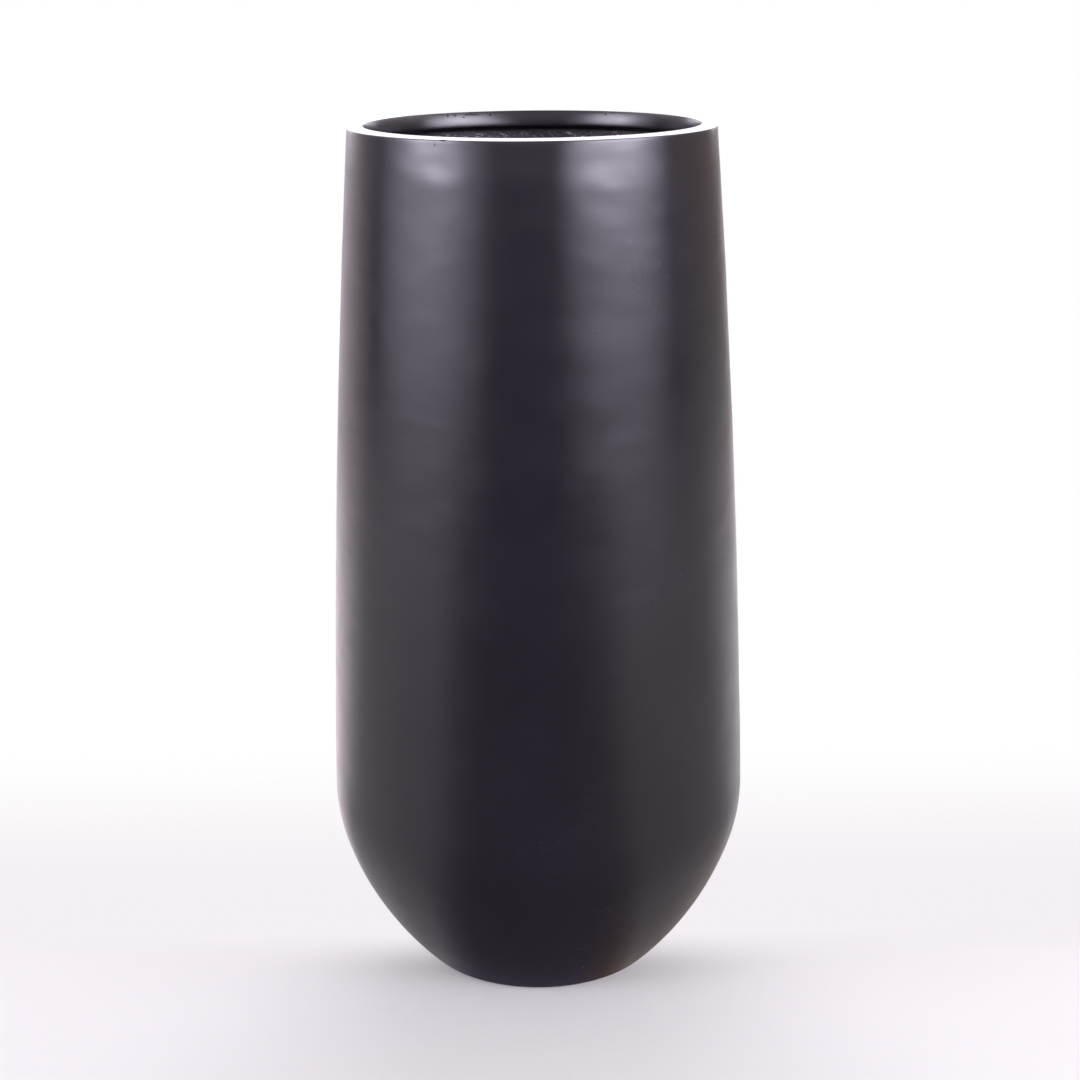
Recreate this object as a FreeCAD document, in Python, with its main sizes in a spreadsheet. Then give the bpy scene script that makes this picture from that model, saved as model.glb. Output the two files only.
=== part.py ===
# Tall floor planter in hand-laid fiberglass: a thin moulded shell with a bonded collar in its mouth,
# a rough glass-mat lining, a stiffened base with a rubber drain plug, and four thin rubber feet.
# Millimetres, +Z up. The origin is the middle of the footprint, on the floor.
import FreeCAD
import Part
import Sketcher
import math
import os
from FreeCAD import Vector

doc = FreeCAD.newDocument("Planter")

# Driving sizes, in millimetres and degrees.
driving = [
    # the outside, as a section from the base up to the rim
    ("planterHeight", 914, "floor to the highest point of the rim"),
    ("bellyRadius", 226.5, "widest radius"),
    ("bellyHeight", 198, "height of the widest point"),
    ("rimInset", 38, "how far the rim edge stands inside the belly"),
    ("baseInset", 94, "how far the base edge stands inside the belly"),
    ("kneeBend", 189, "radius of the bend at the belly"),
    ("kneeTurn", 18, "degrees that the bend turns below the belly"),
    ("wallLean", 1.6, "degrees that the bend turns above the belly"),
    ("baseEdge", 1, "rounding of the base edge"),
    # laminate
    ("shellWall", 3.5, "thickness of the shell, wall and floor"),
    ("liningWall", 2, "thickness of the glass-mat lining"),
    ("bondLine", 0.1, "resin line between two bonded pieces"),
    # collar
    ("rimWidth", 17, "top of the rim, from the outer edge to the mouth"),
    ("rimDrop", 1.2, "how much lower the rim is at its outer edge"),
    ("rimEdge", 2.5, "rounding of the outer rim edge"),
    ("collarDepth", 17, "height of the collar"),
    ("lipEdge", 1.2, "rounding of the two edges at the mouth"),
    ("collarBead", 6, "resin bead, along the underside of the collar"),
    ("collarBeadRise", 6, "resin bead, down the lining"),
    ("collarBeadHollow", 8, "radius of the bead's hollow face"),
    # base
    ("plateWall", 6, "thickness of the plate that stiffens the base"),
    ("baseBead", 14, "resin bead, along the base plate"),
    ("baseBeadRise", 10, "resin bead, up the lining"),
    ("baseBeadHollow", 40, "radius of the bead's hollow face"),
    ("drainRadius", 12.5, "drain hole"),
    # drain plug
    ("plugPlay", 0.05, "radial clearance of the plug in its hole"),
    ("seatGap", 0.2, "plug flange to base plate"),
    ("plugRecess", 1, "plug tip above the underside of the base"),
    ("plugTaper", 1.5, "bevel at the plug tip"),
    ("flangeLap", 7.5, "how far the plug flange reaches past the drain hole"),
    ("flangeWall", 3.5, "thickness of the plug flange"),
    ("knobRadius", 8, "grip on the plug"),
    ("waistDepth", 2.5, "how far the grip narrows under its head"),
    ("knobHeight", 14, "grip above the flange"),
    ("knobWall", 5, "thickness of the head of the grip"),
    ("plugRounding", 1.1, "rounding of the flange and the grip"),
    # feet
    ("padThickness", 1.5, "rubber foot"),
    ("padRadius", 12, "rubber foot"),
    ("padInset", 22, "centre of a foot inside the base edge"),
    ("padEdge", 0.4, "bevel round a foot"),
]
padCount = 4

sheet = doc.addObject("Spreadsheet::Sheet", "Sizes")
for row, (alias, value, meaning) in enumerate(driving, start=1):
    sheet.set("A%d" % row, meaning)
    sheet.set("B%d" % row, str(value))
    sheet.setAlias("B%d" % row, alias)
doc.recompute()


def size(alias):
    return float(getattr(sheet, alias))


# Formulas that several pieces share, written once. An empty sum is zero.
ground = ""
edgeHeight = "Sizes.planterHeight - Sizes.rimDrop"
floorTop = "Sizes.padThickness + Sizes.shellWall"
plateLow = "Sizes.padThickness + Sizes.shellWall + Sizes.bondLine"
plateTop = "Sizes.padThickness + Sizes.shellWall + Sizes.bondLine + Sizes.plateWall"
collarLow = "Sizes.planterHeight - Sizes.collarDepth"
underCollar = "Sizes.planterHeight - Sizes.collarDepth - Sizes.bondLine"
shellInside = "Sizes.shellWall"
liningOutside = "Sizes.shellWall + Sizes.bondLine"
liningInside = "Sizes.shellWall + Sizes.bondLine + Sizes.liningWall"
beadOutside = "Sizes.shellWall + Sizes.bondLine + Sizes.liningWall + Sizes.bondLine"
rimRadius = "Sizes.bellyRadius - Sizes.rimInset"
baseRadius = "Sizes.bellyRadius - Sizes.baseInset"
rimSlope = "atan(Sizes.rimDrop / Sizes.rimWidth)"


def valueOf(formula):
    # what a sum of sizes comes to, so that each sketch starts close to its solution
    total = 0.0
    sign = 1
    for word in formula.split():
        if word in "+-":
            sign = 1 if word == "+" else -1
        else:
            total += sign * size(word.replace("Sizes.", ""))
    return total


def newBody(label):
    body = doc.addObject("PartDesign::Body", label)
    body.Label = label
    return body


def newSketch(body, name, role="XZ_Plane"):
    sketch = body.newObject("Sketcher::SketchObject", name)
    plane = [feature for feature in body.Origin.OriginFeatures if feature.Role == role][0]
    sketch.AttachmentSupport = [(plane, "")]
    sketch.MapMode = "FlatFace"
    return sketch


def drive(sketch, name, formula, *constraint):
    # a dimension of the sketch, bound to the sheet
    index = sketch.addConstraint(Sketcher.Constraint(*constraint))
    sketch.renameConstraint(index, name)
    sketch.setExpression("Constraints." + name, formula)


def across(sketch, name, formula, geometry, point):
    # distance of a point from the axis
    drive(sketch, name, formula, "DistanceX", -1, 1, geometry, point, valueOf(formula))


def above(sketch, name, formula, geometry, point):
    # height of a point above the floor
    drive(sketch, name, formula, "DistanceY", -1, 1, geometry, point, valueOf(formula))


def join(sketch, first, firstPoint, second, secondPoint):
    sketch.addConstraint(Sketcher.Constraint("Coincident", first, firstPoint, second, secondPoint))


def line(sketch, start, end):
    return sketch.addGeometry(Part.LineSegment(Vector(*start), Vector(*end)))


def level(sketch, geometry):
    sketch.addConstraint(Sketcher.Constraint("Horizontal", geometry))


def upright(sketch, geometry):
    sketch.addConstraint(Sketcher.Constraint("Vertical", geometry))


def revolve(body, sketch, name):
    turned = body.newObject("PartDesign::Revolution", name)
    turned.Profile = sketch
    turned.ReferenceAxis = (sketch, ["V_Axis"])
    turned.Angle = 360
    sketch.Visibility = False
    doc.recompute()
    return turned


def ringEdges(feature, rings, tolerance=0.01):
    # names of the circular edges that lie at the given radii and heights
    names = []
    for index, edge in enumerate(feature.Shape.Edges, start=1):
        if not isinstance(edge.Curve, Part.Circle):
            continue
        for radius, height in rings:
            offRadius = abs(edge.Curve.Radius - valueOf(radius))
            offHeight = abs(edge.Curve.Center.z - valueOf(height))
            if max(offRadius, offHeight) < tolerance:
                names.append("Edge%d" % index)
    return names


def dressEdges(body, base, kind, name, rings, setting, formula):
    # a fillet or chamfer on ring edges, each given by the formulas of its radius and height
    dressed = body.newObject(kind, name)
    dressed.Base = (base, ringEdges(base, rings))
    dressed.setExpression(setting, formula)
    doc.recompute()
    return dressed


# The wall's section.
# The skin is three arcs, each tangent to the next: the lower wall, the knee and the tall upper wall.
# All of them have their centres on the axis side, so an arc starts low and ends high.


def angleFrom(centre, point):
    return math.atan2(point.y - centre.y, point.x - centre.x)


def wallArcs(inset=0.0):
    # centre, radius and end angles of the three arcs, measured inwards from the skin
    turn = math.radians(size("kneeTurn"))
    lean = math.radians(size("wallLean"))
    knee = Vector(size("bellyRadius") - size("kneeBend"), size("bellyHeight"))
    arcs = [(knee, size("kneeBend") - inset, -turn, lean)]
    ends = [
        (-turn, Vector(valueOf(baseRadius), size("padThickness"))),
        (lean, Vector(valueOf(rimRadius), valueOf(edgeHeight))),
    ]
    for angle, far in ends:
        outward = Vector(math.cos(angle), math.sin(angle))
        near = knee + outward * size("kneeBend")
        chord = far - near
        radius = -chord.Length ** 2 / (2 * chord.dot(outward))
        centre = near - outward * radius
        angles = sorted([angle, angleFrom(centre, far)])
        arcs.append((centre, radius - inset, *angles))
    knee, lower, wall = arcs
    return [lower, knee, wall]


def addArc(sketch, centre, radius, start, end):
    circle = Part.Circle(centre, Vector(0, 0, 1), radius)
    return sketch.addGeometry(Part.ArcOfCircle(circle, start, end))


def wallPoint(part, inset, height):
    # where one of the three arcs passes a given height: 0 lower wall, 1 knee, 2 upper wall
    centre, radius, _, _ = wallArcs(inset)[part]
    rise = height - centre.y
    return Vector(centre.x + math.sqrt(radius ** 2 - rise ** 2), height)


def drawSkin(sketch):
    # the three arcs as construction lines, driven by the sheet
    arcs = [addArc(sketch, *arc) for arc in wallArcs()]
    lower, knee, wall = arcs
    across(sketch, "kneeAcross", "Sizes.bellyRadius - Sizes.kneeBend", knee, 3)
    above(sketch, "kneeAbove", "Sizes.bellyHeight", knee, 3)
    drive(sketch, "kneeRadius", "Sizes.kneeBend", "Radius", knee, size("kneeBend"))
    drop = size("kneeBend") * math.sin(math.radians(size("kneeTurn")))
    rise = size("kneeBend") * math.sin(math.radians(size("wallLean")))
    dropFormula = "Sizes.kneeBend * sin(Sizes.kneeTurn)"
    riseFormula = "Sizes.kneeBend * sin(Sizes.wallLean)"
    drive(sketch, "kneeDrop", dropFormula, "DistanceY", knee, 1, knee, 3, drop)
    drive(sketch, "kneeRise", riseFormula, "DistanceY", knee, 3, knee, 2, rise)
    sketch.addConstraint(Sketcher.Constraint("Tangent", lower, 2, knee, 1))
    sketch.addConstraint(Sketcher.Constraint("Tangent", knee, 2, wall, 1))
    across(sketch, "baseAcross", baseRadius, lower, 1)
    above(sketch, "baseAbove", "Sizes.padThickness", lower, 1)
    across(sketch, "rimAcross", rimRadius, wall, 2)
    above(sketch, "rimAbove", edgeHeight, wall, 2)
    for arc in arcs:
        sketch.toggleConstruction(arc)
    return arcs


def drawInset(sketch, skin, name, formula, low, high):
    # the skin's three arcs again, a thickness further in, between two heights
    inset = valueOf(formula)
    lower, knee, wall = wallArcs(inset)
    lowAngle = angleFrom(lower[0], wallPoint(0, inset, low))
    highAngle = angleFrom(wall[0], wallPoint(2, inset, high))
    shapes = [lower[:2] + (lowAngle, lower[3]), knee, wall[:3] + (highAngle,)]
    arcs = [addArc(sketch, *shape) for shape in shapes]
    for arc, outer in zip(arcs, skin):
        join(sketch, arc, 3, outer, 3)
    radiusFormula = "Sizes.kneeBend - (%s)" % formula
    drive(sketch, name, radiusFormula, "Radius", arcs[1], size("kneeBend") - inset)
    sketch.addConstraint(Sketcher.Constraint("Tangent", arcs[0], 2, arcs[1], 1))
    sketch.addConstraint(Sketcher.Constraint("Tangent", arcs[1], 2, arcs[2], 1))
    return arcs


def drawStretch(sketch, skin, part, name, formula, low, high):
    # one stretch of an inset wall arc, between two heights, as an edge of a piece
    inset = valueOf(formula)
    guides = drawInset(sketch, skin, name, formula, size("padThickness"), size("planterHeight"))
    above(sketch, name + "Low", "Sizes.padThickness", guides[0], 1)
    above(sketch, name + "High", "Sizes.planterHeight", guides[2], 2)
    for guide in guides:
        sketch.toggleConstruction(guide)
    centre, radius, _, _ = wallArcs(inset)[part]
    angles = [angleFrom(centre, wallPoint(part, inset, height)) for height in (low, high)]
    stretch = addArc(sketch, centre, radius, *angles)
    join(sketch, stretch, 3, skin[part], 3)
    sketch.addConstraint(Sketcher.Constraint("Equal", stretch, guides[part]))
    return stretch


# Outer shell.
# One moulding from the rim edge down to the flat base, with the drain hole in its floor.

shell = newBody("outer_shell")
section = newSketch(shell, "ShellSection")
skin = drawSkin(section)
lower, knee, wall = skin
section.toggleConstruction(lower)
section.toggleConstruction(knee)
low = size("padThickness")
high = valueOf(edgeHeight)
inside = drawInset(section, skin, "insideKnee", shellInside, valueOf(floorTop), high)
innerTop = wallPoint(2, size("shellWall"), high)
innerFloor = wallPoint(0, size("shellWall"), valueOf(floorTop))
holeTop = (size("drainRadius"), valueOf(floorTop))
holeFoot = (size("drainRadius"), low)
# the rounded rim edge: an arc that touches the wall and the sloping top
slope = math.atan(size("rimDrop") / size("rimWidth"))
inward = Vector(-math.cos(slope), math.sin(slope))
upward = Vector(math.sin(slope), math.cos(slope))
wallCentre, wallRadius, wallLow, wallHigh = wallArcs()[2]
reach = Vector(valueOf(rimRadius), high) - upward * size("rimEdge") - wallCentre
along = reach.dot(inward)
spread = (wallRadius - size("rimEdge")) ** 2 - reach.Length ** 2
edgeCentre = wallCentre + reach - inward * (along + math.sqrt(along ** 2 + spread))
edgeLow = angleFrom(wallCentre, edgeCentre)
edgeTop = edgeCentre + upward * size("rimEdge")
face = addArc(section, wallCentre, wallRadius, wallLow, edgeLow)
rounding = addArc(section, edgeCentre, size("rimEdge"), edgeLow, math.pi / 2 - slope)
top = line(section, edgeTop, innerTop)
floor = line(section, innerFloor, holeTop)
hole = line(section, holeTop, holeFoot)
base = line(section, holeFoot, (valueOf(baseRadius), low))
join(section, face, 3, wall, 3)
join(section, face, 1, knee, 2)
section.addConstraint(Sketcher.Constraint("Tangent", face, 2, rounding, 1))
section.addConstraint(Sketcher.Constraint("Tangent", rounding, 2, top, 1))
section.addConstraint(Sketcher.Constraint("PointOnObject", wall, 2, top))
join(section, top, 2, inside[2], 2)
join(section, floor, 1, inside[0], 1)
join(section, floor, 2, hole, 1)
join(section, hole, 2, base, 1)
join(section, base, 2, lower, 1)
drive(section, "edgeRadius", "Sizes.rimEdge", "Radius", rounding, size("rimEdge"))
drive(section, "rimSlope", "180 deg - " + rimSlope, "Angle", top, math.pi - slope)
level(section, floor)
upright(section, hole)
level(section, base)
above(section, "floorAbove", floorTop, floor, 2)
across(section, "drainAcross", "Sizes.drainRadius", floor, 2)
turned = revolve(shell, section, "ShellTurned")
baseRing = [(baseRadius, "Sizes.padThickness")]
dressEdges(shell, turned, "PartDesign::Fillet", "BaseRounding", baseRing, "Radius", "Sizes.baseEdge")

# Glass-mat lining.
# The rough backing laminate on the inside of the wall, from the floor up to the collar.

lining = newBody("glass_mat_lining")
section = newSketch(lining, "LiningSection")
skin = drawSkin(section)
liningLow = valueOf(plateLow)
liningHigh = valueOf(underCollar)
outer = drawInset(section, skin, "outerKnee", liningOutside, liningLow, liningHigh)
inner = drawInset(section, skin, "innerKnee", liningInside, liningLow, liningHigh)
insets = [valueOf(liningOutside), valueOf(liningInside)]
foot = line(section, *[wallPoint(0, inset, liningLow) for inset in insets])
head = line(section, *[wallPoint(2, inset, liningHigh) for inset in insets])
join(section, foot, 1, outer[0], 1)
join(section, foot, 2, inner[0], 1)
join(section, head, 1, outer[2], 2)
join(section, head, 2, inner[2], 2)
level(section, foot)
level(section, head)
above(section, "footAbove", plateLow, foot, 1)
above(section, "headAbove", underCollar, head, 1)
revolve(lining, section, "LiningTurned")

# Rim collar.
# A smooth ring bonded inside the mouth. Its top carries on the slope of the shell's edge.

collar = newBody("rim_collar")
section = newSketch(collar, "CollarSection")
skin = drawSkin(section)
mouthRadius = rimRadius + " - Sizes.rimWidth"
mouth = valueOf(mouthRadius)
low = valueOf(collarLow)
high = size("planterHeight")
backTop = valueOf(edgeHeight)
back = drawStretch(section, skin, 2, "backKnee", liningOutside, low, backTop)
backLow = wallPoint(2, valueOf(liningOutside), low)
backHigh = wallPoint(2, valueOf(liningOutside), backTop)
top = line(section, backHigh, (mouth, high))
face = line(section, (mouth, high), (mouth, low))
under = line(section, (mouth, low), backLow)
join(section, top, 1, back, 2)
join(section, top, 2, face, 1)
join(section, face, 2, under, 1)
join(section, under, 2, back, 1)
upright(section, face)
level(section, under)
above(section, "mouthAbove", "Sizes.planterHeight", face, 1)
across(section, "mouthAcross", mouthRadius, face, 1)
above(section, "underAbove", collarLow, face, 2)
section.addConstraint(Sketcher.Constraint("PointOnObject", skin[2], 2, top))
turned = revolve(collar, section, "CollarTurned")
mouthRings = [(mouthRadius, "Sizes.planterHeight"), (mouthRadius, collarLow)]
dressEdges(collar, turned, "PartDesign::Fillet", "LipRounding", mouthRings, "Radius", "Sizes.lipEdge")

# Resin beads.
# Thickened resin wiped into the two inside corners, each with a hollow face.


def resinBead(label, part, leg, corner, upward):
    # leg names the bead's sizes, corner is the formula of its corner's height,
    # and upward is True where the bead climbs the wall from that corner
    body = newBody(label)
    sketch = newSketch(body, "BeadSection")
    skin = drawSkin(sketch)
    inset = valueOf(beadOutside)
    climb = "+" if upward else "-"
    tipHeight = "%s %s Sizes.%sRise" % (corner, climb, leg)
    heights = [valueOf(corner), valueOf(tipHeight)]
    back = drawStretch(sketch, skin, part, "backKnee", beadOutside, *sorted(heights))
    heel, tip = [wallPoint(part, inset, height) for height in heights]
    toe = Vector(heel.x - size(leg), heel.y)
    under = line(sketch, heel, toe)
    cornerPoint, tipPoint = (1, 2) if upward else (2, 1)
    join(sketch, under, 1, back, cornerPoint)
    level(sketch, under)
    above(sketch, "cornerAbove", corner, under, 1)
    drive(sketch, "toeLength", "Sizes." + leg, "DistanceX", under, 2, under, 1, size(leg))
    above(sketch, "tipAbove", tipHeight, back, tipPoint)
    # the hollow face: an arc through toe and tip, with its centre on the open side
    bow = size(leg + "Hollow")
    chord = tip - toe
    away = Vector(-chord.y, chord.x) if upward else Vector(chord.y, -chord.x)
    away.normalize()
    centre = (tip + toe) * 0.5 + away * math.sqrt(bow ** 2 - (chord.Length / 2) ** 2)
    start, end = (toe, tip) if upward else (tip, toe)
    angles = [angleFrom(centre, point) for point in (start, end)]
    hollow = addArc(sketch, centre, bow, *angles)
    toeEnd, tipEnd = (1, 2) if upward else (2, 1)
    join(sketch, hollow, toeEnd, under, 2)
    join(sketch, hollow, tipEnd, back, tipPoint)
    drive(sketch, "hollowRadius", "Sizes.%sHollow" % leg, "Radius", hollow, bow)
    revolve(body, sketch, "BeadTurned")


resinBead("collar_bond_bead", 2, "collarBead", underCollar, False)
resinBead("base_bond_bead", 0, "baseBead", plateTop + " + Sizes.bondLine", True)

# Base plate.
# A disc of laminate bonded over the shell's floor. Its edge follows the slope of the lining.

plate = newBody("base_plate")
section = newSketch(plate, "PlateSection")
skin = drawSkin(section)
low = valueOf(plateLow)
high = valueOf(plateTop)
edge = drawStretch(section, skin, 0, "edgeKnee", beadOutside, low, high)
edgeLow = wallPoint(0, valueOf(beadOutside), low)
edgeHigh = wallPoint(0, valueOf(beadOutside), high)
under = line(section, edgeLow, (size("drainRadius"), low))
hole = line(section, (size("drainRadius"), low), (size("drainRadius"), high))
over = line(section, (size("drainRadius"), high), edgeHigh)
join(section, under, 1, edge, 1)
join(section, under, 2, hole, 1)
join(section, hole, 2, over, 1)
join(section, over, 2, edge, 2)
level(section, under)
upright(section, hole)
level(section, over)
above(section, "underAbove", plateLow, under, 2)
above(section, "overAbove", plateTop, over, 1)
across(section, "drainAcross", "Sizes.drainRadius", under, 2)
revolve(plate, section, "PlateTurned")

# Drain plug.
# A rubber bung: a stem in the drain hole, a flange on the base plate, and a waisted grip to pull.

plug = newBody("drain_plug")
section = newSketch(plug, "PlugSection")
stemRadius = "Sizes.drainRadius - Sizes.plugPlay"
flangeRadius = "Sizes.drainRadius + Sizes.flangeLap"
waistRadius = "Sizes.knobRadius - Sizes.waistDepth"
tipHeight = "Sizes.padThickness + Sizes.plugRecess"
seatHeight = plateTop + " + Sizes.seatGap"
flangeHeight = seatHeight + " + Sizes.flangeWall"
crownHeight = flangeHeight + " + Sizes.knobHeight"
browHeight = crownHeight + " - Sizes.knobWall"
# corners from the tip upwards, as formulas: radius, height
corners = [
    (stemRadius + " - Sizes.plugTaper", tipHeight),
    (stemRadius, tipHeight + " + Sizes.plugTaper"),
    (stemRadius, seatHeight),
    (flangeRadius, seatHeight),
    (flangeRadius, flangeHeight),
    (waistRadius, flangeHeight),
    (waistRadius, browHeight),
    ("Sizes.knobRadius", browHeight),
    ("Sizes.knobRadius", crownHeight),
]
points = [(valueOf(radius), valueOf(height)) for radius, height in corners]
points = [(0, points[0][1])] + points + [(0, points[-1][1])]
sides = [line(section, points[i - 1], points[i]) for i in range(len(points))]
for i in range(len(sides)):
    join(section, sides[i - 1], 2, sides[i], 1)
level(section, sides[1])
level(section, sides[-1])
section.addConstraint(Sketcher.Constraint("PointOnObject", sides[0], 1, -2))
section.addConstraint(Sketcher.Constraint("PointOnObject", sides[0], 2, -2))
for number, (radius, height) in enumerate(corners, start=1):
    across(section, "cornerAcross%d" % number, radius, sides[number], 2)
    above(section, "cornerAbove%d" % number, height, sides[number], 2)
turned = revolve(plug, section, "PlugTurned")
plugRings = [corners[4], corners[7], corners[8]]
dressEdges(plug, turned, "PartDesign::Fillet", "PlugRounding", plugRings, "Radius", "Sizes.plugRounding")

# Rubber feet.
# Thin discs stuck under the flat base, so that water can leave the drain hole.

padCircle = "Sizes.bellyRadius - Sizes.baseInset - Sizes.padInset"
for number in range(1, padCount + 1):
    angle = 360 / padCount * (number - 0.5)
    foot = newBody("foot_pad_%d" % number)
    outline = newSketch(foot, "PadOutline", "XY_Plane")
    ring = outline.addGeometry(Part.Circle(Vector(0, 0), Vector(0, 0, 1), size("padRadius")))
    join(outline, ring, 3, -1, 1)
    drive(outline, "padRadius", "Sizes.padRadius", "Radius", ring, size("padRadius"))
    disc = foot.newObject("PartDesign::Pad", "PadDisc")
    disc.Profile = outline
    disc.setExpression("Length", "Sizes.padThickness")
    outline.Visibility = False
    doc.recompute()
    padRing = [("Sizes.padRadius", ground)]
    dressEdges(foot, disc, "PartDesign::Chamfer", "PadBevel", padRing, "Size", "Sizes.padEdge")
    foot.setExpression("Placement.Base.x", "(%s) * cos(%g)" % (padCircle, angle))
    foot.setExpression("Placement.Base.y", "(%s) * sin(%g)" % (padCircle, angle))

# Check and write.

doc.recompute()
bodies = [item for item in doc.Objects if item.TypeId == "PartDesign::Body"]
for item in doc.Objects:
    for state in ("Invalid", "Error"):
        if state in item.State:
            raise RuntimeError("%s is %s" % (item.Label, state))
    if item.TypeId == "Sketcher::SketchObject" and not item.FullyConstrained:
        raise RuntimeError("%s is not fully constrained" % item.Label)

os.makedirs("parts", exist_ok=True)
for body in bodies:
    shape = body.Shape
    if shape.isNull() or not shape.isValid():
        raise RuntimeError("%s has no valid shape" % body.Label)
    shape.exportStep(os.path.join("parts", body.Label + ".step"))
    box = shape.BoundBox
    print("%-18s %9.1f cm3  z %7.2f to %7.2f  radius %7.2f" % (
        body.Label, shape.Volume / 1000, box.ZMin, box.ZMax, box.XMax))
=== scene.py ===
import math
import random

import bpy
from mathutils import Matrix, Vector, noise


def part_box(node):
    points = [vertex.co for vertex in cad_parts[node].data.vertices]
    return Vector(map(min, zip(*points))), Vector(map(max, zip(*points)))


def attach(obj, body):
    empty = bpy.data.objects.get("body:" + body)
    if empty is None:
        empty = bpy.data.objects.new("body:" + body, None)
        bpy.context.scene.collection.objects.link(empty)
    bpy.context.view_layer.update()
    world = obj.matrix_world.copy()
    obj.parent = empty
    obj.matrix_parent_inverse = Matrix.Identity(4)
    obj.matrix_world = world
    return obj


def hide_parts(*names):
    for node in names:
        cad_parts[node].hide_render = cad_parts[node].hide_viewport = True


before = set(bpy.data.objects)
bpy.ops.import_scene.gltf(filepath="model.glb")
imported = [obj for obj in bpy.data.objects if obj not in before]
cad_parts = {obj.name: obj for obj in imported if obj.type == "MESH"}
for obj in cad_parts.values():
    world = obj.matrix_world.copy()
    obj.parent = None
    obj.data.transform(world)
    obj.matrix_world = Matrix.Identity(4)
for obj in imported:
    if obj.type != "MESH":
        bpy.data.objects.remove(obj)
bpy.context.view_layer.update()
random.seed(11)
print("frame loaded:", ", ".join(sorted(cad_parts)))


# shader tools

class Wire:
    # an output socket that can be used in sums: each sum adds a Math node
    def __init__(self, shader, socket):
        self.shader = shader
        self.socket = socket

    def math(self, operation, first, second):
        return self.shader.node("Math", {"operation": operation}, {0: first, 1: second})

    def __add__(self, other):
        return self.math("ADD", self, other)

    def __sub__(self, other):
        return self.math("SUBTRACT", self, other)

    def __rsub__(self, other):
        return self.math("SUBTRACT", other, self)

    def __mul__(self, other):
        return self.math("MULTIPLY", self, other)

    __radd__ = __add__
    __rmul__ = __mul__

    def over(self, other):
        return self.math("MAXIMUM", self, other)

    def between(self, low, high):
        # 0 to 1 as the value goes from low to high, eased at both ends
        spread = {"From Min": low, "From Max": high, "Value": self}
        return self.shader.node("MapRange", {"interpolation_type": "SMOOTHSTEP"}, spread)


class Shader:
    # the node tree of a material or of the world
    def __init__(self, owner):
        owner.use_nodes = True
        self.tree = owner.node_tree
        self.tree.nodes.clear()

    def node(self, kind, settings=None, inputs=None, output=0):
        made = self.tree.nodes.new("ShaderNode" + kind)
        for name, value in (settings or {}).items():
            setattr(made, name, value)
        for name, value in (inputs or {}).items():
            if isinstance(value, Wire):
                self.tree.links.new(value.socket, made.inputs[name])
            else:
                made.inputs[name].default_value = value
        return Wire(self, made.outputs[output]) if len(made.outputs) else made

    def place(self):
        return self.node("TexCoord", output="Object")

    def part(self, vector, axis):
        return self.node("SeparateXYZ", {}, {0: vector}, axis)

    def stretched(self, place, scale):
        return self.node("Mapping", {}, {"Vector": place, "Scale": scale})

    def laid(self, place, size, turn):
        # turned first, so that grains of this size lie along the turned axes
        return self.node("Mapping", {"vector_type": "TEXTURE"}, {"Vector": place, "Rotation": turn, "Scale": size})

    def noise(self, place, scale, detail=3.0, rough=0.5):
        return self.node("TexNoise", {}, {"Vector": place, "Scale": scale, "Detail": detail, "Roughness": rough})

    def blend(self, factor, first, second):
        return self.node("Mix", {"data_type": "RGBA"}, {0: factor, 6: first, 7: second}, 2)

    def bump(self, height):
        return self.node("Bump", {}, {"Height": height, "Strength": 1.0, "Distance": 1.0})


def surface(name, build):
    # a material whose look comes from one function
    material = bpy.data.materials.new(name)
    shader = Shader(material)
    closure = shader.node("BsdfPrincipled", {}, {"IOR": 1.5, **build(shader)})
    shader.node("OutputMaterial", {}, {"Surface": closure})
    return material


# mesh tools

def rounded(before, corner, after, radius, steps=6):
    # the points of an arc that rounds a corner of a section
    corner = Vector(corner)
    back = (Vector(before) - corner).normalized()
    ahead = (Vector(after) - corner).normalized()
    half = back.angle(ahead) / 2
    reach = radius / math.tan(half)
    centre = corner + (back + ahead).normalized() * (radius / math.sin(half))
    first = corner + back * reach - centre
    last = corner + ahead * reach - centre
    turn = first.angle_signed(last)
    return [tuple(centre + Matrix.Rotation(-turn * i / steps, 2) @ first) for i in range(steps + 1)]


def linkedMesh(name, points, faces):
    mesh = bpy.data.meshes.new(name)
    mesh.from_pydata(points, [], faces)
    piece = bpy.data.objects.new(name, mesh)
    bpy.context.scene.collection.objects.link(piece)
    return piece


def turnedMesh(name, section, around, shift=None):
    # revolves a closed section of (radius, height, looseness) and lets shift move the loose points
    points = []
    for i in range(around):
        angle = 2 * math.pi * i / around
        outward = Vector((math.cos(angle), math.sin(angle), 0))
        for radius, height, loose in section:
            point = outward * radius + Vector((0, 0, height))
            if loose and shift:
                point += outward * (loose * shift(point))
            points.append(point)
    rows = len(section)
    faces = []
    for i in range(around):
        near = i * rows
        far = (i + 1) % around * rows
        for j in range(rows):
            k = (j + 1) % rows
            faces.append((near + j, far + j, far + k, near + k))
    piece = linkedMesh(name, points, faces)
    piece.data.shade_smooth()
    piece.data.set_sharp_from_angle(angle=math.radians(40))
    return piece


def settle(piece, material, body="planter", stands=()):
    piece.data.materials.clear()
    piece.data.materials.append(material)
    if piece.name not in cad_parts:
        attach(piece, body)
    if stands:
        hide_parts(*stands)


# outline of the wall

wallShape = {
    "bellyHeight": 0.198,     # height of the widest point
    "rimInset": 0.038,        # rim edge inside the belly
    "baseInset": 0.094,       # base edge inside the belly
    "rimDrop": 0.0016,        # the rim falls this much to its outer edge
    "rimWidth": 0.017,
    "kneeBend": 0.189,        # radius of the bend at the belly
    "kneeTurn": 18,           # degrees that it turns below the belly
    "wallLean": 1.6,          # degrees that it turns above the belly
}

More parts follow.
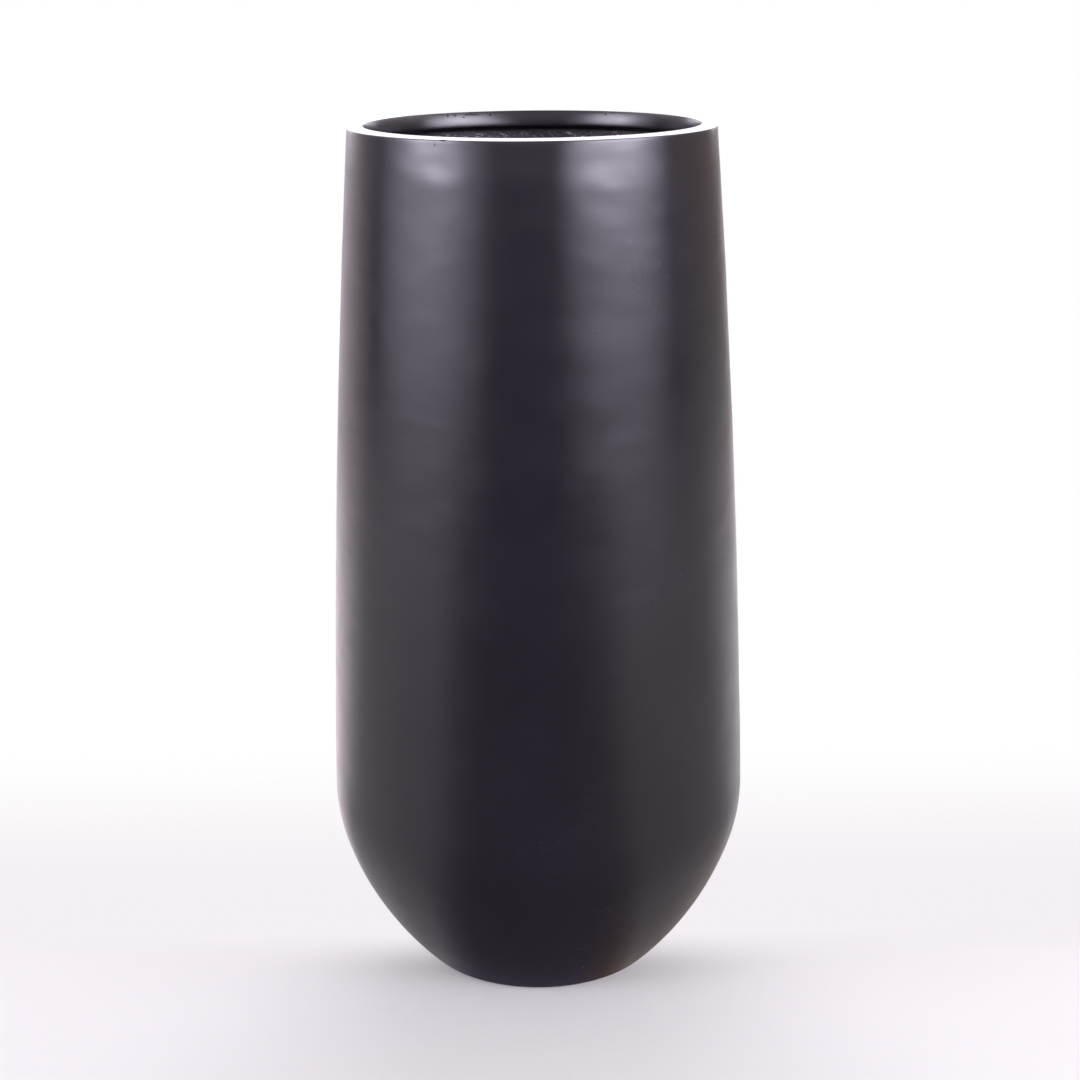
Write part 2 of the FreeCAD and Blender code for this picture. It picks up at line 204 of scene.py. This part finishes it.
shellLow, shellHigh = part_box("outer_shell")
collarLow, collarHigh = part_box("rim_collar")
liningLow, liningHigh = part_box("glass_mat_lining")
plateLow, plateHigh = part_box("base_plate")
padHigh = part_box("foot_pad_1")[1]
bellyRadius = shellHigh.x
rimRadius = bellyRadius - wallShape["rimInset"]
baseRadius = bellyRadius - wallShape["baseInset"]
mouthRadius = rimRadius - wallShape["rimWidth"]
rimHeight = collarHigh.z - wallShape["rimDrop"]
rimSlope = math.atan(wallShape["rimDrop"] / wallShape["rimWidth"])


def wallArcs():
    # lower wall, knee and upper wall as (centre, radius, start angle, end angle)
    bend = wallShape["kneeBend"]
    knee = Vector((bellyRadius - bend, wallShape["bellyHeight"]))
    turn = -math.radians(wallShape["kneeTurn"])
    lean = math.radians(wallShape["wallLean"])
    ends = [(turn, Vector((baseRadius, shellLow.z))), (lean, Vector((rimRadius, rimHeight)))]
    sides = []
    for angle, far in ends:
        outward = Vector((math.cos(angle), math.sin(angle)))
        near = knee + outward * bend
        chord = far - near
        radius = -chord.length_squared / (2 * chord.dot(outward))
        centre = near - outward * radius
        reach = far - centre
        sides.append((centre, radius, *sorted((angle, math.atan2(reach.y, reach.x)))))
    return [sides[0], (knee, bend, turn, lean), sides[1]]


def wallRadius(height, inset=0.0):
    # radius of the wall at a height, or of a surface further in
    lower, knee, upper = wallArcs()
    kneeFoot = knee[0].y + knee[1] * math.sin(knee[2])
    kneeHead = knee[0].y + knee[1] * math.sin(knee[3])
    centre, radius = (lower if height < kneeFoot else knee if height < kneeHead else upper)[:2]
    return centre.x + math.sqrt((radius - inset) ** 2 - (height - centre.y) ** 2)


def wallLine(low, high, inset, step):
    # points up the wall between two heights
    count = max(2, round((high - low) / step))
    heights = [low + (high - low) * i / count for i in range(count + 1)]
    return [(wallRadius(height, inset), height) for height in heights]


# satin black paint, as on the shell and the collar

paintLook = {
    "colour": (0.0085, 0.0076, 0.0108, 1),
    "dusty": (0.0112, 0.01, 0.0138, 1),
    "bare": (0.0025, 0.0023, 0.0028, 1),
    "scuffed": (0.05, 0.047, 0.052, 1),
    "roughness": 0.25,
    "uneven": 0.1,            # how far the roughness wanders
    "chipRough": 0.35,
    "cloudScale": 7.0,
    "clouds": (0.35, 0.75),
    "hazeScale": 36.0,
    "peel": 0.000003,         # depth of the orange peel
    "peelScale": 420.0,
    "bands": 0.00009,         # depth of the soft level bands left by hand sanding
    "bandScale": (8.0, 8.0, 55.0),
    "hollows": 0.0005,        # depth of the shallow hollows between them
    "hollowScale": (17.0, 17.0, 29.0),
    "tuck": 0.026,            # how much steeper the wall turns in just under the rim
    "tuckHeight": (0.862, 0.873, 0.889),
    "tuckWander": 0.03,       # how unevenly that begins
    "wanderScale": 9.0,
    "chipDepth": 0.0001,
    "dentDepth": 0.00003,
}
markLook = {"ragged": 0.9, "raggedScale": 700.0, "deep": 0.004, "edge": (1.55, 1.15)}


def paintMarks(shader, place, marks):
    # small chips and scratches, each an ellipsoid: angle, height, radius, half length, half height, tilt
    ragged = shader.noise(place, markLook["raggedScale"], 2.0)
    found = 0.0
    for angle, height, radius, length, width, tilt in marks:
        turn = math.radians(angle)
        spot = (radius * math.sin(turn), -radius * math.cos(turn), height)
        inputs = {
            "Vector": place,
            "Location": spot,
            "Rotation": (0, math.radians(tilt), turn),
            "Scale": (length, markLook["deep"], width),
        }
        local = shader.node("Mapping", {"vector_type": "TEXTURE"}, inputs)
        far = shader.node("VectorMath", {"operation": "LENGTH"}, {0: local}, "Value")
        mark = (far + ragged * markLook["ragged"]).between(*markLook["edge"])
        found = mark.over(found)
    return found


def satinBlack(marks, dents=(), ticks=()):
    # chips show the dark coat below, dents are only in the relief and ticks are pale scuffs
    look = paintLook

    def build(shader):
        place = shader.place()
        cloud = shader.noise(place, look["cloudScale"], 4.0, 0.6)
        haze = shader.noise(place, look["hazeScale"], 4.0, 0.6)
        colour = shader.blend(cloud.between(*look["clouds"]), look["colour"], look["dusty"])
        rough = look["roughness"] + (cloud - 0.5) * look["uneven"] + (haze - 0.5) * look["uneven"]
        peel = shader.noise(place, look["peelScale"], 2.0)
        bands = shader.noise(shader.stretched(place, look["bandScale"]), 1.0, 2.0)
        hollows = shader.noise(shader.stretched(place, look["hollowScale"]), 1.0, 1.0)
        height = peel * look["peel"] + bands * look["bands"] + hollows * look["hollows"]
        wander = shader.noise(place, look["wanderScale"], 1.0)
        level = shader.part(place, "Z") + (wander - 0.5) * look["tuckWander"]
        low, start, full = look["tuckHeight"]
        height = height - level.between(low, full) * (level - start) * look["tuck"]
        chips = paintMarks(shader, place, marks)
        colour = shader.blend(chips, colour, look["bare"])
        if ticks:
            colour = shader.blend(paintMarks(shader, place, ticks), colour, look["scuffed"])
        if dents:
            height = height - paintMarks(shader, place, dents) * look["dentDepth"]
        rough = rough + chips * look["chipRough"]
        normal = shader.bump(height - chips * look["chipDepth"])
        return {"Base Color": colour, "Roughness": rough, "Normal": normal}
    return surface("satin_black_paint", build)


# outer shell

shellLook = {
    "around": 384,
    "skinStep": 0.0035,
    "wall": 0.00355,
    "edge": 0.0008,
    "baseEdge": 0.001,
    "drain": 0.0125,
    "innerStep": 0.02,
    "wave": 0.0006,           # how far the hand-finished wall wanders
    "waveScale": (8, 8, 13),
    "calm": 6,                # rows over which the wave fades out towards the base
}
shellMarks = [
    # degrees round from the front, height, radius, half length, half height, tilt
    (-29.0, 0.9076, 0.1893, 0.0006, 0.0013, 0),
    (-26.3, 0.9122, 0.1885, 0.0034, 0.0008, 0),
    (-14.3, 0.1037, 0.2090, 0.0011, 0.0008, 20),
    (7.1, 0.0846, 0.2000, 0.0009, 0.0006, -10),
]
shellDents = [(30.0, 0.8330, wallRadius(0.8330), 0.0022, 0.0022, 0)]
shellTicks = [(8.3, 0.7350, wallRadius(0.7350), 0.0003, 0.0018, 8)]


def wallWave(point):
    # never outwards, so that the shell keeps its size
    broad = noise.fractal(point * Vector(shellLook["waveScale"]), 1.0, 2.0, 3)
    return -shellLook["wave"] * (0.5 + 0.5 * math.tanh(1.2 * broad))


def makeShell():
    skin = wallLine(shellLow.z, rimHeight, 0.0, shellLook["skinStep"])
    base = rounded((0, shellLow.z), skin[0], skin[1], shellLook["baseEdge"])
    inner = (rimRadius - shellLook["wall"], rimHeight + shellLook["wall"] * math.tan(rimSlope))
    head = rounded(skin[-2], skin[-1], inner, shellLook["edge"])
    floorTop = shellLow.z + shellLook["wall"]
    lining = wallLine(floorTop, inner[1], shellLook["wall"], shellLook["innerStep"])
    drain = shellLook["drain"]
    section = [(drain, shellLow.z, 0)]
    section += [(radius, height, 0) for radius, height in base]
    section += [(radius, height, min(1, i / shellLook["calm"])) for i, (radius, height) in enumerate(skin[1:-1])]
    section += [(radius, height, 1) for radius, height in head]
    section += [(radius, height, 0) for radius, height in reversed(lining)]
    section += [(drain, floorTop, 0)]
    shell = turnedMesh("planter_shell", section, shellLook["around"], wallWave)
    settle(shell, satinBlack(shellMarks, shellDents, shellTicks), stands=["outer_shell"])
    print("shell:", len(shell.data.vertices), "points")


# rim collar

collarLook = {
    "around": 384,
    "rows": 5,
    "lip": 0.0004,
    "heel": 0.0012,
    "flare": 12,              # degrees by which the face opens out at its top
    "inward": 0.0009,         # how far the foot of the face stands in
}
collarMarks = [
    (-157.2, 0.9112, 0.1720, 0.0125, 0.0009, 0),
    (-154.1, 0.9083, 0.1716, 0.0012, 0.0006, 0),
    (-147.6, 0.9108, 0.1720, 0.0014, 0.0010, 0),
    (-150.6, 0.9106, 0.1719, 0.0022, 0.0006, 0),
    (-164.3, 0.9104, 0.1719, 0.0016, 0.0016, 30),
    (-127.7, 0.9105, 0.1719, 0.0022, 0.0007, 0),
    (170.6, 0.9118, 0.1720, 0.0007, 0.0020, 8),
    (160.5, 0.9128, 0.1721, 0.0008, 0.0010, 0),
    (152.0, 0.9106, 0.1719, 0.0012, 0.0012, 0),
]


def makeCollar():
    low, high = collarLow.z, collarHigh.z
    joint = (rimRadius - shellLook["wall"], rimHeight + shellLook["wall"] * math.tan(rimSlope))
    bend = (high - low) / math.sin(math.radians(collarLook["flare"]))
    face = []
    for i in range(collarLook["rows"], -1, -1):
        rise = i / collarLook["rows"] * (high - low)
        radius = mouthRadius - collarLook["inward"] + bend - math.sqrt(bend ** 2 - rise ** 2)
        face.append((radius, low + rise))
    heel = (wallRadius(low, shellLook["wall"]), low)
    upper = rounded(joint, face[0], face[1], collarLook["lip"])
    lower = rounded(face[-2], face[-1], heel, collarLook["heel"])
    outline = [joint] + upper + face[1:-1] + lower + [heel]
    section = [(radius, height, 0) for radius, height in outline]
    collar = turnedMesh("mouth_collar", section, collarLook["around"])
    settle(collar, satinBlack(collarMarks), stands=["rim_collar"])
    print("collar:", len(collar.data.vertices), "points")


# glass-mat lining

matLook = {
    "around": 420,
    "step": 0.0035,
    "bond": 0.0001,           # bond line between shell and lining
    "wall": 0.0019,
    "lump": 0.0006,
    "lumpScale": 45,
    "grain": 0.0003,
    "grainScale": 160,
    "strand": (0.0022, 0.0022, 0.02),
    "turns": ((0.3, 0.2, 0.1), (1.2, 0.5, 0.8), (0.7, 1.3, 2.0), (2.1, 0.9, 1.1), (1.5, 0.1, 2.6)),
    "strands": (0.54, 0.68),
    "strandRelief": 0.00022,
    "softScale": 90.0,
    "softRelief": 0.0009,
    "speckScale": (210.0, 210.0, 420.0),
    "specks": (0.63, 0.71),   # bare glass shows where both noises are high
    "speckAreas": (0.46, 0.54),
    "collarShade": (0.8845, 0.8915),    # heights between which the painted shade under the collar begins
    "collarShadeWander": 0.008,
    "colour": (0.032, 0.029, 0.037, 1),
    "crest": (0.14, 0.13, 0.15, 1),
    "fibre": (0.72, 0.70, 0.72, 1),
    # painted shade: near black, for the lining just under the collar's overhang
    "collarShadeColour": (0.006, 0.006, 0.007, 1),
    "roughness": 0.36,
}
liningInset = shellLook["wall"] + matLook["bond"]


def matSurface(shader):
    place = shader.place()
    height = 0.0
    for turn in matLook["turns"]:
        strand = shader.noise(shader.laid(place, matLook["strand"], turn), 1.0, 1.0)
        height = strand.between(*matLook["strands"]) * 0.45 + height
    soft = shader.noise(place, matLook["softScale"], 4.0, 0.6)
    speck = shader.noise(shader.stretched(place, matLook["speckScale"]), 1.0, 2.0)
    bare = speck.between(*matLook["specks"]) * soft.between(*matLook["speckAreas"])
    # painted shade: the lining is made near black and rougher just under the collar, where the collar's overhang
    # shades it; the edge of it wanders
    level = shader.part(place, "Z") + (soft - 0.5) * matLook["collarShadeWander"]
    collarShade = level.between(*matLook["collarShade"])
    colour = shader.blend(height.between(0.1, 0.9), matLook["colour"], matLook["crest"])
    colour = shader.blend(bare, colour, matLook["fibre"])
    colour = shader.blend(collarShade * 0.9, colour, matLook["collarShadeColour"])
    rough = matLook["roughness"] - height * 0.08 + (soft - 0.5) * 0.2 + collarShade * 0.25
    normal = shader.bump(height * matLook["strandRelief"] + soft * matLook["softRelief"])
    return {"Base Color": colour, "Roughness": rough, "Normal": normal}


def matRelief(point):
    lump = noise.noise(point * matLook["lumpScale"])
    grain = noise.fractal(point * matLook["grainScale"], 0.9, 2.0, 3)
    return -matLook["lump"] * (0.5 + 0.5 * lump) - matLook["grain"] * grain


def makeLining():
    face = wallLine(liningLow.z, liningHigh.z, liningInset + matLook["wall"], matLook["step"])
    back = wallLine(liningLow.z, liningHigh.z, liningInset, shellLook["innerStep"])
    section = [(radius, height, 0) for radius, height in back]
    section += [(radius, height, 1) for radius, height in reversed(face)]
    lining = turnedMesh("rough_lining", section, matLook["around"], matRelief)
    settle(lining, roughLaminate, stands=["glass_mat_lining"])
    print("lining:", len(lining.data.vertices), "points")


roughLaminate = surface("brushed_glass_mat", matSurface)


# loose glass fibres that stand out of the laminate

fibreLook = {
    "count": 260,
    "steps": 6,
    "thick": 0.00022,
    "length": (0.004, 0.013),
    "bow": (0.0002, 0.0012),
    "slant": 1.2,
    "cluster": 4,
    "dark": (0.09, 0.086, 0.1, 1),
    "tint": (0.38, 0.56),
    "tintScale": 55.0,
    "foot": 0.02,             # the strands start this far above the lining's foot
    "head": 0.006,            # and end this far below its top
    "spare": 0.03,
    "turnSpread": 2,          # degrees
    "riseSpread": 0.006,
    "nearRim": 0.87,          # above this height they are short and lie flat
}
fibresSeen = [
    # degrees round from the front, height
    (-149.4, 0.8893),
    (-161.3, 0.8879),
    (-170.2, 0.8878),
    (167.6, 0.8888),
    (149.2, 0.8893),
    (145.7, 0.8890),
]


def fibreSurface(shader):
    tint = shader.noise(shader.place(), fibreLook["tintScale"], 2.0)
    colour = shader.blend(tint.between(*fibreLook["tint"]), fibreLook["dark"], matLook["fibre"])
    return {"Base Color": colour, "Roughness": 0.4}


def strandAt(points, faces, angle, height, slant, length, bow):
    # one bent strand, four-sided, half sunk into the wall at its ends
    start = len(points)
    steps = fibreLook["steps"]
    thick = fibreLook["thick"] * random.uniform(0.7, 1.3)
    for i in range(steps + 1):
        along = length * (i / steps - 0.5)
        lift = bow * math.sin(math.pi * i / steps) - thick * 0.6
        z = height + along * math.sin(slant)
        radius = wallRadius(z, liningInset + matLook["wall"]) - lift
        turn = math.radians(angle) + along * math.cos(slant) / radius
        outward = Vector((math.sin(turn), -math.cos(turn), 0))
        side = Vector((-math.sin(slant) * math.cos(turn), -math.sin(slant) * math.sin(turn), math.cos(slant)))
        centre = outward * radius + Vector((0, 0, z))
        size = thick * (0.35 if i in (0, steps) else 1)
        for across, above in ((1, 0), (0, 1), (-1, 0), (0, -1)):
            points.append(centre + side * (across * size) - outward * (above * size))
    for i in range(steps):
        for k in range(4):
            near, far = start + 4 * i, start + 4 * i + 4
            faces.append((near + k, near + (k + 1) % 4, far + (k + 1) % 4, far + k))
    faces.append((start + 3, start + 2, start + 1, start))
    end = start + 4 * steps
    faces.append((end, end + 1, end + 2, end + 3))


def makeFibres():
    points = []
    faces = []
    spots = []
    for angle, height in fibresSeen:
        for i in range(fibreLook["cluster"]):
            spots.append((angle + random.uniform(-1.2, 1.2), height + random.uniform(-0.002, 0.001)))
    low = liningLow.z + fibreLook["foot"]
    reach = liningHigh.z - liningLow.z - fibreLook["spare"]
    highest = liningHigh.z - fibreLook["head"]
    while len(spots) < fibreLook["count"]:
        angle = random.uniform(-180, 180)
        height = low + reach * random.random() ** 0.5
        for i in range(random.randint(1, fibreLook["cluster"])):
            near = angle + random.uniform(-fibreLook["turnSpread"], fibreLook["turnSpread"])
            level = height + random.uniform(-fibreLook["riseSpread"], fibreLook["riseSpread"])
            spots.append((near, min(level, highest)))
    for angle, height in spots:
        slant = random.uniform(-fibreLook["slant"], fibreLook["slant"])
        length = random.uniform(*fibreLook["length"])
        if height > fibreLook["nearRim"]:
            slant, length = slant * 0.3, length * 0.6
        strandAt(points, faces, angle, height, slant, length, random.uniform(*fibreLook["bow"]))
    fibres = linkedMesh("loose_fibres", points, faces)
    fibres.data.shade_smooth()
    settle(fibres, surface("glass_fibre", fibreSurface))
    print("fibres:", len(spots))


# resin beads, base plate, plug and feet keep their CAD shapes

resinAndShadeTones = {
    # near-black resin, with a dark tone darker than the black paint: that part is painted shade, so that the bead in
    # the undercut under the collar looks shaded
    "dark": (0.004, 0.004, 0.005, 1),
    "pale": (0.009, 0.009, 0.010, 1),
    "roughness": 0.52,
    "smear": 0.0012,
    "smearScale": 38.0,
    "grain": 0.00015,
    "grainScale": 260.0,
}
rubberTones = {
    "dark": (0.016, 0.016, 0.016, 1),
    "bloomed": (0.035, 0.034, 0.033, 1),
    "roughness": 0.66,
    "bloom": (0.4, 0.75),
    "bloomScale": 90.0,
    "grain": 0.00003,
    "grainScale": 1400.0,
}


def resinAndShadeLook(shader):
    place = shader.place()
    smear = shader.noise(place, resinAndShadeTones["smearScale"], 5.0, 0.6)
    grain = shader.noise(place, resinAndShadeTones["grainScale"], 3.0)
    colour = shader.blend(smear, resinAndShadeTones["dark"], resinAndShadeTones["pale"])
    rough = resinAndShadeTones["roughness"] + (smear - 0.5) * 0.3
    normal = shader.bump(smear * resinAndShadeTones["smear"] + grain * resinAndShadeTones["grain"])
    return {"Base Color": colour, "Roughness": rough, "Normal": normal}


def rubberLook(shader):
    place = shader.place()
    bloom = shader.noise(place, rubberTones["bloomScale"], 4.0, 0.6)
    grain = shader.noise(place, rubberTones["grainScale"], 2.0)
    colour = shader.blend(bloom.between(*rubberTones["bloom"]), rubberTones["dark"], rubberTones["bloomed"])
    rough = rubberTones["roughness"] + (bloom - 0.5) * 0.2
    normal = shader.bump(grain * rubberTones["grain"])
    return {"Base Color": colour, "Roughness": rough, "Normal": normal}


def dressNodes():
    resin = surface("wiped_resin_and_painted_shade", resinAndShadeLook)
    rubber = surface("moulded_rubber", rubberLook)
    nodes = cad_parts
    settle(nodes["base_plate"], roughLaminate)
    for name in ("collar_bond_bead", "base_bond_bead"):
        settle(nodes[name], resin)
    settle(nodes["drain_plug"], rubber)
    for name in sorted(nodes):
        if name.startswith("foot_pad"):
            settle(nodes[name], rubber)
    print("nodes dressed")


# studio

studio = {
    "eye": (0.0, -1.9774, 1.0708),
    "pitch": 16.883,
    "yaw": 0.119,
    "roll": 0.523,
    "lens": 63.51,
    "floorHalf": 9.0,
    "backdrop": (-0.3, 0.954, 0.0),
    "reflected": (1.75, 1.53, 1.66, 1),
    "distant": (1.1, 0.96, 1.04, 1),
    "light": (1.0, 0.925, 1.1),
}
cards = [
    # name, degrees round from the camera, distance, reach to each side, reach of the lamp to each side,
    # brightness of the lamp and of the card
    ("left_card", -63.0, 3.5, (3.4, 3.4), (1.55, 1.7), 17.8, 2.7),
    ("right_card", 51.5, 3.5, (3.2, 2.9), (2.7, 2.7), 21.8, 2.3),
]
cardLook = {
    "height": (0.02, 1.95),
    "lampFoot": (1.15, 1.27),    # heights between which the lamp's light begins
    "lampHead": (1.95, 1.5),
    "fade": (-0.3, 0.6),         # the card itself is darker towards the floor
    "flat": 0.3,                 # half width of the card's even middle
    "lampFlat": (-0.1, 0.27),    # and of the lamp's
    "spill": 0.15,
}
lamps = [
    # name, degrees round from the camera, distance, low edge, height, width, radiance
    ("back_panel", 180.0, 3.0, 0.82, 1.1, 5.0, 2.2),
    ("back_hanger", 180.0, 3.2, 2.0, 1.0, 3.2, 5.6),
]


def makeCamera():
    lens = bpy.data.cameras.new("studio_camera")
    lens.sensor_width = 36
    lens.lens = studio["lens"]
    camera = bpy.data.objects.new("studio_camera", lens)
    bpy.context.scene.collection.objects.link(camera)
    camera.matrix_world = (
        Matrix.Translation(studio["eye"])
        @ Matrix.Rotation(-math.radians(studio["yaw"]), 4, "Z")
        @ Matrix.Rotation(math.radians(90 - studio["pitch"]), 4, "X")
        @ Matrix.Rotation(-math.radians(studio["roll"]), 4, "Z")
    )
    bpy.context.scene.camera = camera


def makeLamps():
    for name, around, distance, low, height, width, radiance in lamps:
        turn = math.radians(around)
        light = bpy.data.lights.new(name, "AREA")
        light.shape = "RECTANGLE"
        light.size = width
        light.size_y = height
        light.energy = radiance * math.pi * width * height
        light.color = studio["light"]
        lamp = bpy.data.objects.new(name, light)
        lamp.location = (distance * math.sin(turn), -distance * math.cos(turn), low + height / 2)
        lamp.rotation_euler = (math.pi / 2, 0, turn)
        lamp.visible_camera = False
        bpy.context.scene.collection.objects.link(lamp)


def makeCards():
    # white cards at both sides, each lit by a softbox over its upper part
    low, high = cardLook["height"]
    flat = cardLook["flat"]
    for name, around, distance, (left, right), (lampLeft, lampRight), bright, dull in cards:
        corners = [(-left, 0, low), (right, 0, low), (right, 0, high), (-left, 0, high)]
        card = linkedMesh(name, corners, [(0, 1, 2, 3)])
        turn = math.radians(around)
        card.location = (distance * math.sin(turn), -distance * math.cos(turn), 0)
        card.rotation_euler = (0, 0, turn)
        card.visible_camera = False
        material = bpy.data.materials.new(name)
        shader = Shader(material)
        place = shader.place()
        across = shader.part(place, "X")
        rise = shader.part(place, "Z")
        spread = across.between(-left, -flat) * across.between(right, flat)
        core = across.between(-lampLeft, cardLook["lampFlat"][0]) * across.between(lampRight, cardLook["lampFlat"][1])
        lamp = core * (1 - cardLook["spill"]) + spread * cardLook["spill"]
        lamp = lamp * rise.between(*cardLook["lampFoot"]) * rise.between(*cardLook["lampHead"])
        strength = lamp * bright + spread * rise.between(*cardLook["fade"]) * dull
        glow = shader.node("Emission", {}, {"Color": (*studio["light"], 1), "Strength": strength})
        shader.node("OutputMaterial", {}, {"Surface": glow})
        card.data.materials.append(material)


floorLook = {
    "under": 0.0002,             # the floor lies a hair under the feet
    "paper": (0.86, 0.885, 0.81, 1),
    "seenPaper": (0.905, 0.863, 0.896, 1),
    "leftShade": (0.13, 0.11, 0.15, 1),
    "rightShade": (0.2, 0.13, 0.08, 1),
    "seenFrom": (-0.1, 0.0),     # depths between which the camera starts to see even paper
    "whiteFrom": (0.1, 0.55),    # depths between which it turns white
    "whiteRound": (0.75, 1.4),   # the same all round, for views from the other sides
    "distantFrom": (1.5, 3.0),
    "mirrorShade": (0.2, 0.8),   # from the left shade to the right one
    "mirrorDark": 0.42,
    "mirrorLean": 0.12,          # how much darker it is to the right
    "mirrorAside": (0.65, 0.15),
    "mirrorAway": (1.3, 2.8),
    "mirrorFront": (-0.45, -0.9),
    "mirrorWhite": (0.55, 0.9),
}


def makeFloor():
    half = studio["floorHalf"]
    corners = [(-half, -half, 0), (half, -half, 0), (half, half, 0), (-half, half, 0)]
    floor = linkedMesh("studio_floor", corners, [(0, 1, 2, 3)])
    floor.location.z = -floorLook["under"]
    material = bpy.data.materials.new("studio_paper")
    shader = Shader(material)
    place = shader.place()
    depth = shader.part(place, "Y")
    away = shader.node("VectorMath", {"operation": "LENGTH"}, {0: place}, "Value")
    outward = shader.node("VectorMath", {"operation": "NORMALIZE"}, {0: place})
    across = shader.part(outward, "X")
    aside = shader.part(outward, "Y")
    behind = shader.node("VectorMath", {"operation": "DOT_PRODUCT"}, {0: outward, 1: studio["backdrop"]}, "Value")
    seen = shader.node("LightPath", output="Is Camera Ray")
    mirrored = shader.node("LightPath", output="Is Glossy Ray")
    # the paper as it takes the shadow, and as the camera sees it behind the planter
    paper = shader.node("BsdfDiffuse", {}, {"Color": floorLook["paper"]})
    lit = shader.node("Emission", {}, {"Color": floorLook["seenPaper"], "Strength": 1.0})
    mixed = shader.node("MixShader", {}, {0: depth.between(*floorLook["seenFrom"]) * seen, 1: paper, 2: lit})
    # what the wall mirrors of the floor is dark in front and at the sides
    shade = shader.blend(across.between(*floorLook["mirrorShade"]), floorLook["leftShade"], floorLook["rightShade"])
    dim = shader.node("Emission", {}, {"Color": shade, "Strength": 1.0})
    dark = floorLook["mirrorDark"] + across * floorLook["mirrorLean"]
    dark = dark * aside.between(*floorLook["mirrorAside"])
    dark = dark.over(away.between(*floorLook["mirrorAway"]) * across.between(0.1, 0.5) * 0.4)
    near = aside.between(*floorLook["mirrorFront"]).over(dark) * mirrored
    mixed = shader.node("MixShader", {}, {0: near, 1: mixed, 2: dim})
    # white behind, for the camera and in the mirrored floor
    white = shader.blend(away.between(*floorLook["distantFrom"]), studio["reflected"], studio["distant"])
    white = shader.blend(seen, white, (1, 1, 1, 1))
    glow = shader.node("Emission", {}, {"Color": white, "Strength": 1.0})
    bare = depth.between(*floorLook["whiteFrom"]).over(away.between(*floorLook["whiteRound"])) * seen
    far = bare.over(behind.between(*floorLook["mirrorWhite"]) * mirrored)
    mixed = shader.node("MixShader", {}, {0: far, 1: mixed, 2: glow})
    shader.node("OutputMaterial", {}, {"Surface": mixed})
    floor.data.materials.append(material)


roomLook = {
    "left": (0.5, 0.43, 0.45, 1),
    "right": (0.38, 0.3, 0.25, 1),
    "leftToRight": (-0.5, 0.5),
    "front": (0.16, 0.15, 0.2, 1),
    "frontToSides": (-0.6, -0.1),
    "low": (0.52, 0.48, 0.53, 1),        # just above the horizon
    "lowRise": (0.03, 0.15),
    "ringFront": (1.1, 1.0, 1.15, 1),    # a ring of light stands above it
    "ringSides": (2.6, 2.4, 2.6, 1),
    "ringRise": (0.1, 0.24),
    "top": (0.1, 0.095, 0.1, 1),
    "topRise": (0.42, 0.6),
    "backdropFrom": (0.7, 0.93),
}


def makeWorld():
    world = bpy.data.worlds.new("studio_room")
    bpy.context.scene.world = world
    shader = Shader(world)
    direction = shader.node("TexCoord", output="Generated")
    across = shader.part(direction, "X")
    depth = shader.part(direction, "Y")
    rise = shader.part(direction, "Z")
    seen = shader.node("LightPath", output="Is Camera Ray")
    behind = shader.node("VectorMath", {"operation": "DOT_PRODUCT"}, {0: direction, 1: studio["backdrop"]}, "Value")
    front = depth.between(*roomLook["frontToSides"])
    sides = shader.blend(across.between(*roomLook["leftToRight"]), roomLook["left"], roomLook["right"])
    room = shader.blend(front, roomLook["front"], sides)
    room = shader.blend(rise.between(*roomLook["lowRise"]), room, roomLook["low"])
    ring = shader.blend(front, roomLook["ringFront"], roomLook["ringSides"])
    room = shader.blend(rise.between(*roomLook["ringRise"]), room, ring)
    room = shader.blend(rise.between(*roomLook["topRise"]), room, roomLook["top"])
    room = shader.blend(behind.between(*roomLook["backdropFrom"]), room, studio["distant"])
    room = shader.blend(seen, room, (1, 1, 1, 1))
    glow = shader.node("Background", {}, {"Color": room, "Strength": 1.0})
    shader.node("OutputWorld", {}, {"Surface": glow})


makeShell()
makeCollar()
makeLining()
makeFibres()
dressNodes()
makeCamera()
makeLamps()
makeCards()
makeFloor()
makeWorld()
bpy.context.scene.view_settings.view_transform = "Standard"
print("studio set")
